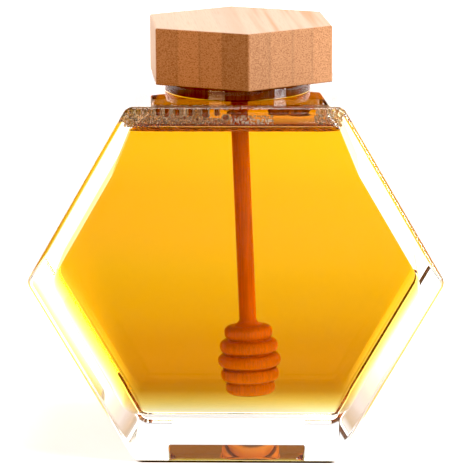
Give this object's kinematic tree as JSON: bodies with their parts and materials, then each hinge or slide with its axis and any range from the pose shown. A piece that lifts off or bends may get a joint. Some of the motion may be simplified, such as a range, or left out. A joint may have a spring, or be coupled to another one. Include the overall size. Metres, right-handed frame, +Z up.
{
  "type": "honey jar with dipper",
  "caption": "Hexagonal clear glass jar of honey standing on one flat side, shut by a hexagonal bamboo lid that holds a ridged wooden dipper down in the honey.",
  "frame": {"origin": "middle of the base, on the surface the jar stands on", "axes": "+Z up, -Y towards the front face, +X to the right of someone facing the front"},
  "size_m": [0.119, 0.064, 0.1247],
  "materials": {
    "clear_glass": "clear polished glass",
    "honey": "clear golden honey with foam on top",
    "dipper_wood": "smooth turned wood, wet with honey",
    "plug_wood": "dark smooth wood",
    "bamboo": "laminated bamboo, fine satin"
  },
  "bodies": {
    "root": {"jar": "clear_glass", "honey": "honey", "dipper": "dipper_wood", "plug": "plug_wood", "lid": "bamboo"}
  },
  "joints": []
}
